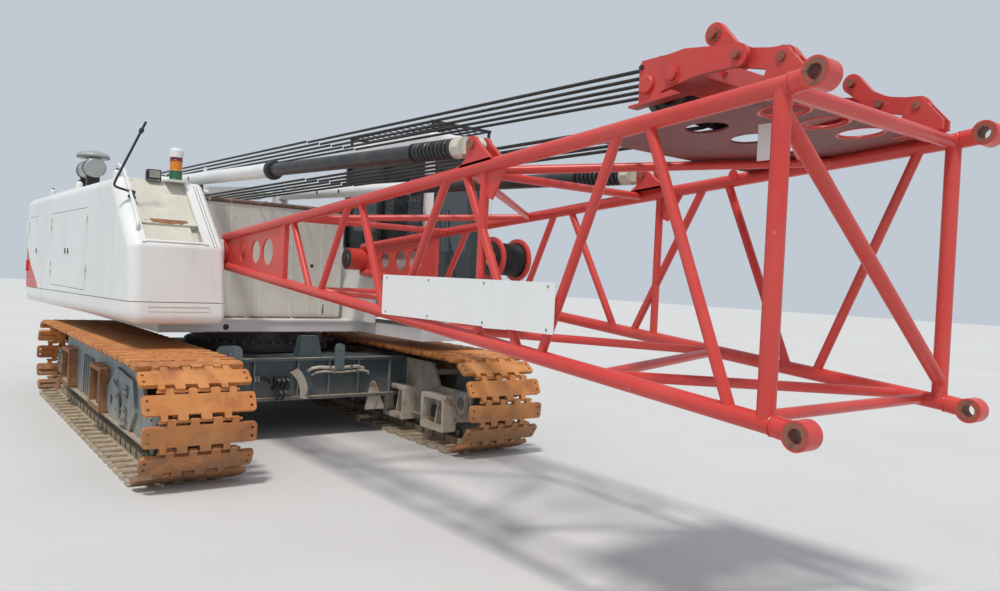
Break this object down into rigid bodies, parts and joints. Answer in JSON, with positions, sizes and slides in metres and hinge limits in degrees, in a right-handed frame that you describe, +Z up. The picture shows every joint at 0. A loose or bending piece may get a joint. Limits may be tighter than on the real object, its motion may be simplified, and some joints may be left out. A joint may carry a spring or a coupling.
{
  "type": "crawler crane",
  "caption": "Crawler crane with a lattice boom base section, a cab, two machinery houses, winches, backstops and a hoist harp.",
  "frame": {"origin": "on the ground below the middle of the crane's bounding box", "axes": "+X forward along the boom, +Y to the machine's left, +Z up"},
  "size_m": [10.908, 3.7098, 3.141],
  "materials": {
    "white_paint": "gloss",
    "red_paint": "gloss",
    "slate_paint": "satin",
    "rusty_steel": "rough",
    "dark_steel": "satin",
    "bare_steel": "satin",
    "black_paint": "satin",
    "glass": "gloss",
    "seat_vinyl": "matte",
    "beacon_plastic": "gloss",
    "sign_white": "satin"
  },
  "bodies": {
    "undercarriage": {"carbody": "slate_paint", "slew_ring": "dark_steel", "track_frame_right": "slate_paint", "track_frame_left": "slate_paint", "track_right": "rusty_steel", "track_left": "rusty_steel", "track_wheels_right": "dark_steel", "track_wheels_left": "dark_steel"},
    "superstructure": {"deck_frame": "white_paint", "winch_frame": "white_paint", "front_wall": "white_paint", "house_right": "white_paint", "house_left": "white_paint", "engine": "dark_steel", "cab_shell": "white_paint", "cab_glass": "glass", "cab_guards": "black_paint", "cab_seat": "seat_vinyl", "gantry": "white_paint", "air_cleaner": "bare_steel", "roof_fittings": "beacon_plastic", "mirror_arm": "black_paint", "hoist_ropes_rear": "dark_steel"},
    "door_rear": {"house_door_rear": "white_paint"},
    "door_middle": {"house_door_middle": "white_paint"},
    "door_front": {"house_door_front": "white_paint"},
    "cab_door": {"cab_door": "white_paint"},
    "drum_front": {"hoist_drum_front": "bare_steel"},
    "drum_rear": {"hoist_drum_rear": "bare_steel"},
    "drum_boom": {"boom_hoist_drum": "bare_steel"},
    "gantry_sheaves": {"gantry_sheaves": "dark_steel"},
    "stop_tube_right": {"backstop_tube_right": "white_paint"},
    "stop_tube_left": {"backstop_tube_left": "white_paint"},
    "stop_rod_right": {"backstop_rod_right": "dark_steel"},
    "stop_rod_left": {"backstop_rod_left": "dark_steel"},
    "boom": {"boom_chords_right": "red_paint", "boom_chords_left": "red_paint", "boom_lacing_right": "red_paint", "boom_lacing_left": "red_paint", "boom_lacing_top": "red_paint", "boom_lacing_bottom": "red_paint", "boom_deck": "red_paint", "harp": "red_paint", "harp_links": "red_paint", "hoist_ropes_front": "dark_steel", "sign_plate": "sign_white"},
    "harp_sheaves": {"harp_sheaves": "dark_steel"},
    "cable_reel": {"cable_reel": "red_paint"}
  },
  "joints": [
    {"name": "slew", "type": "hinge", "parent": "undercarriage", "child": "superstructure", "pos_m": [-1.504, 0, 1], "axis": [0, 0, 1], "continuous": true},
    {"name": "boom_luff", "type": "hinge", "parent": "superstructure", "child": "boom", "pos_m": [-0.554, 0, 1.77], "axis": [0, -1, 0], "range_deg": [-4, 78]},
    {"name": "backstop_right", "type": "hinge", "parent": "superstructure", "child": "stop_tube_right", "pos_m": [-2.704, -0.7, 2.55], "axis": [0, -1, 0], "range_deg": [-2.85, 54.73]},
    {"name": "backstop_rod_right", "type": "slide", "parent": "stop_tube_right", "child": "stop_rod_right", "axis": [0.9996, 0, -0.0295], "range_m": [-2.101, 0.109]},
    {"name": "backstop_left", "type": "hinge", "parent": "superstructure", "child": "stop_tube_left", "pos_m": [-2.704, 0.7, 2.55], "axis": [0, -1, 0], "range_deg": [-2.85, 54.73]},
    {"name": "backstop_rod_left", "type": "slide", "parent": "stop_tube_left", "child": "stop_rod_left", "axis": [0.9996, 0, -0.0295], "range_m": [-2.101, 0.109]},
    {"name": "door_rear_hinge", "type": "hinge", "parent": "superstructure", "child": "door_rear", "pos_m": [-5.264, -1.664, 1.7], "axis": [0, 0, -1], "range_deg": [0, 110]},
    {"name": "door_middle_hinge", "type": "hinge", "parent": "superstructure", "child": "door_middle", "pos_m": [-3.684, -1.664, 1.7], "axis": [0, 0, -1], "range_deg": [0, 110]},
    {"name": "door_front_hinge", "type": "hinge", "parent": "superstructure", "child": "door_front", "pos_m": [-1.824, -1.664, 1.7], "axis": [0, 0, 1], "range_deg": [0, 110]},
    {"name": "cab_door_hinge", "type": "hinge", "parent": "superstructure", "child": "cab_door", "pos_m": [-0.604, 1.664, 2], "axis": [0, 0, 1], "range_deg": [0, 85]},
    {"name": "drum_front_turn", "type": "hinge", "parent": "superstructure", "child": "drum_front", "pos_m": [-1.854, 0, 1.64], "axis": [0, 1, 0], "continuous": true},
    {"name": "drum_rear_turn", "type": "hinge", "parent": "superstructure", "child": "drum_rear", "pos_m": [-3.004, 0, 1.64], "axis": [0, 1, 0], "continuous": true},
    {"name": "drum_boom_turn", "type": "hinge", "parent": "superstructure", "child": "drum_boom", "pos_m": [-4.104, 0, 1.64], "axis": [0, 1, 0], "continuous": true},
    {"name": "gantry_sheaves_turn", "type": "hinge", "parent": "superstructure", "child": "gantry_sheaves", "pos_m": [-4.504, 0, 2.64], "axis": [0, 1, 0], "continuous": true},
    {"name": "harp_sheaves_turn", "type": "hinge", "parent": "boom", "child": "harp_sheaves", "pos_m": [4.296, 0, 2.61], "axis": [0, 1, 0], "continuous": true},
    {"name": "cable_reel_turn", "type": "hinge", "parent": "boom", "child": "cable_reel", "pos_m": [3.426, -0.57, 1.745], "axis": [0, 1, 0], "continuous": true}
  ],
  "couplings": [
    {"joint": "backstop_right", "follows": "boom_luff", "ratio": 0.701},
    {"joint": "backstop_rod_right", "follows": "boom_luff", "m_per_rad": -1.5423},
    {"joint": "backstop_left", "follows": "boom_luff", "ratio": 0.701},
    {"joint": "backstop_rod_left", "follows": "boom_luff", "m_per_rad": -1.5423}
  ]
}
